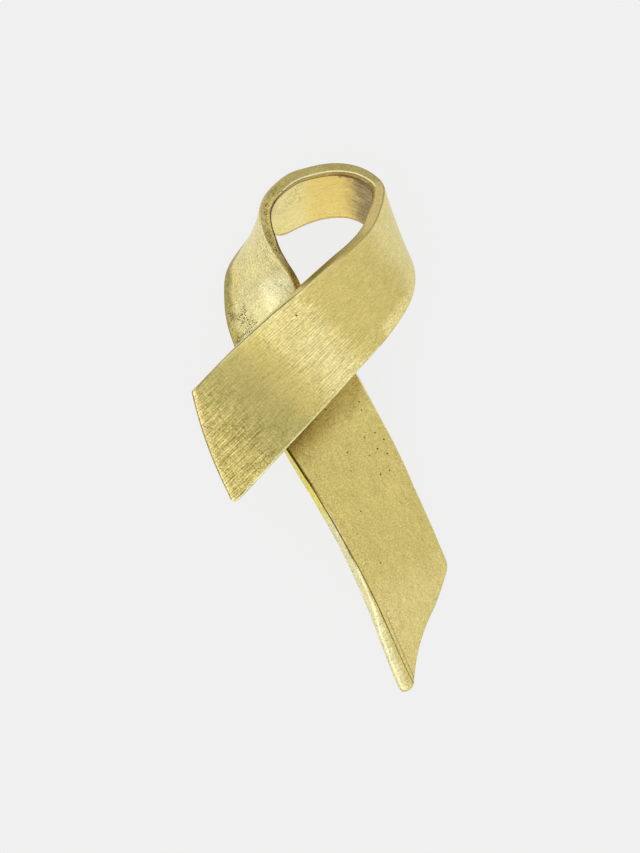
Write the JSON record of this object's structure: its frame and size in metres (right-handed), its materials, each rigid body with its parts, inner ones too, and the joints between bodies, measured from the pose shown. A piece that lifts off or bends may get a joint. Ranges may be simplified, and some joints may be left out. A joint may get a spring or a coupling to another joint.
{
  "type": "ribbon brooch",
  "caption": "Awareness-ribbon brooch: a flat brushed brass band bent into a loop with crossed limbs and slanting ends, and a plain pin clasp soldered behind the crossing",
  "frame": {"origin": "middle of the brooch's outline on the surface it lies on, back down", "axes": "+X to the right of someone who looks at its face, +Y from the tail to the loop, +Z from the surface up to the face"},
  "size_m": [0.024, 0.0502, 0.0134],
  "materials": {
    "ribbon": "satin, brushed along and across, edges worn bright, hollows darker",
    "pin_clasp": "plain satin"
  },
  "bodies": {
    "root": {"ribbon": "ribbon", "pin_clasp": "pin_clasp"}
  },
  "joints": []
}
